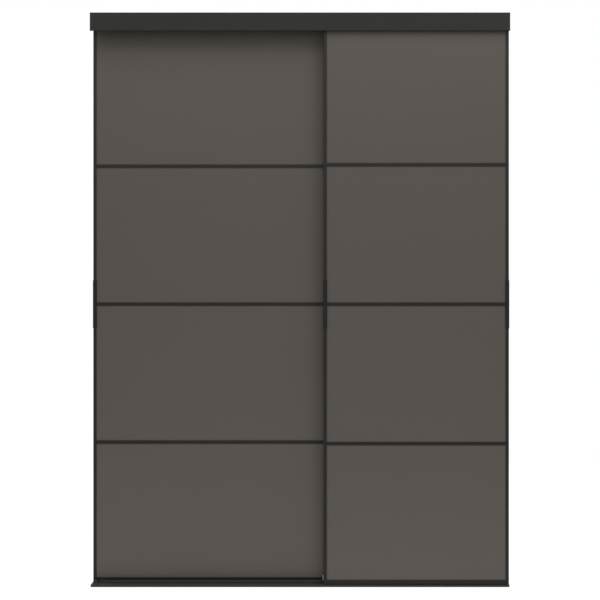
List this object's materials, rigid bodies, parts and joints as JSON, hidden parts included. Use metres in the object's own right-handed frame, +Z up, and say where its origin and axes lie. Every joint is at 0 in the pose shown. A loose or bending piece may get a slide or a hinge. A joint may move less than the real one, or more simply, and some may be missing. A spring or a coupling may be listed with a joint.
{
  "type": "sliding door wardrobe",
  "caption": "Free-standing wardrobe with two overlapping framed sliding doors hung from a twin top rail, over a shelved carcass.",
  "frame": {"origin": "on the floor, at the middle of the footprint", "axes": "+X across the width to the viewer's right, -Y to the front, +Z up"},
  "size_m": [1.756, 0.67, 2.4025],
  "materials": {
    "door_frame": "fine matt powder coat, near black",
    "door_panel": "board with a smooth matt foil, dark warm grey",
    "rail_metal": "matt powder coat, near black",
    "rail_cap": "moulded, fine grain, near black",
    "grip": "moulded, fine grain",
    "carcass_board": "melamine faced board, dark warm grey, lightly textured",
    "back_board": "thin hardboard, matt dark warm grey lacquer on the inside and raw brown on the outside",
    "steel": "zinc plated",
    "wheel_nylon": "moulded nylon",
    "guide_plastic": "moulded, light grey"
  },
  "bodies": {
    "carcass": {"top_rail": "rail_metal", "fascia": "rail_metal", "rail_end_left": "rail_cap", "rail_end_right": "rail_cap", "bottom_rail": "rail_metal", "rail_clip": "rail_cap", "side_left": "carcass_board", "side_right": "carcass_board", "partition": "carcass_board", "top_panel": "carcass_board", "bottom_panel": "carcass_board", "plinth": "carcass_board", "back_left": "back_board", "back_right": "back_board", "hat_shelf": "carcass_board", "clothes_rail": "steel", "rail_socket_left": "steel", "rail_socket_right": "steel", "shelf_1": "carcass_board", "shelf_2": "carcass_board", "shelf_3": "carcass_board", "shelf_4": "carcass_board"},
    "rear_door": {"rear_door_stile_left": "door_frame", "rear_door_stile_right": "door_frame", "rear_door_top_member": "door_frame", "rear_door_bottom_member": "door_frame", "rear_door_divider_lower": "door_frame", "rear_door_divider_middle": "door_frame", "rear_door_divider_upper": "door_frame", "rear_door_panel_1": "door_panel", "rear_door_panel_2": "door_panel", "rear_door_panel_3": "door_panel", "rear_door_panel_4": "door_panel", "rear_door_grip_left": "grip", "rear_door_grip_right": "grip", "rear_door_hanger_left": "steel", "rear_door_hanger_right": "steel", "rear_door_guide_left": "guide_plastic", "rear_door_guide_right": "guide_plastic"},
    "front_door": {"front_door_stile_left": "door_frame", "front_door_stile_right": "door_frame", "front_door_top_member": "door_frame", "front_door_bottom_member": "door_frame", "front_door_divider_lower": "door_frame", "front_door_divider_middle": "door_frame", "front_door_divider_upper": "door_frame", "front_door_panel_1": "door_panel", "front_door_panel_2": "door_panel", "front_door_panel_3": "door_panel", "front_door_panel_4": "door_panel", "front_door_grip_left": "grip", "front_door_grip_right": "grip", "front_door_hanger_left": "steel", "front_door_hanger_right": "steel", "front_door_guide_left": "guide_plastic", "front_door_guide_right": "guide_plastic"},
    "rear_door_wheels_left_set": {"rear_door_wheels_left": "wheel_nylon"},
    "rear_door_wheels_right_set": {"rear_door_wheels_right": "wheel_nylon"},
    "front_door_wheels_left_set": {"front_door_wheels_left": "wheel_nylon"},
    "front_door_wheels_right_set": {"front_door_wheels_right": "wheel_nylon"}
  },
  "joints": [
    {"name": "rear_door_slide", "type": "slide", "parent": "carcass", "child": "rear_door", "axis": [1, 0, 0], "range_m": [0, 0.728]},
    {"name": "front_door_slide", "type": "slide", "parent": "carcass", "child": "front_door", "axis": [1, 0, 0], "range_m": [-0.974, 0]},
    {"name": "rear_door_wheels_left_roll", "type": "hinge", "parent": "rear_door", "child": "rear_door_wheels_left_set", "pos_m": [-0.815, -0.266, 2.3796], "axis": [0, 1, 0], "continuous": true},
    {"name": "rear_door_wheels_right_roll", "type": "hinge", "parent": "rear_door", "child": "rear_door_wheels_right_set", "pos_m": [0.087, -0.266, 2.3796], "axis": [0, 1, 0], "continuous": true},
    {"name": "front_door_wheels_left_roll", "type": "hinge", "parent": "front_door", "child": "front_door_wheels_left_set", "pos_m": [0.159, -0.309, 2.3796], "axis": [0, 1, 0], "continuous": true},
    {"name": "front_door_wheels_right_roll", "type": "hinge", "parent": "front_door", "child": "front_door_wheels_right_set", "pos_m": [0.815, -0.309, 2.3796], "axis": [0, 1, 0], "continuous": true}
  ],
  "couplings": [
    {"joint": "rear_door_wheels_left_roll", "follows": "rear_door_slide", "rad_per_m": 100},
    {"joint": "rear_door_wheels_right_roll", "follows": "rear_door_slide", "rad_per_m": 100},
    {"joint": "front_door_wheels_left_roll", "follows": "front_door_slide", "rad_per_m": 100},
    {"joint": "front_door_wheels_right_roll", "follows": "front_door_slide", "rad_per_m": 100}
  ]
}
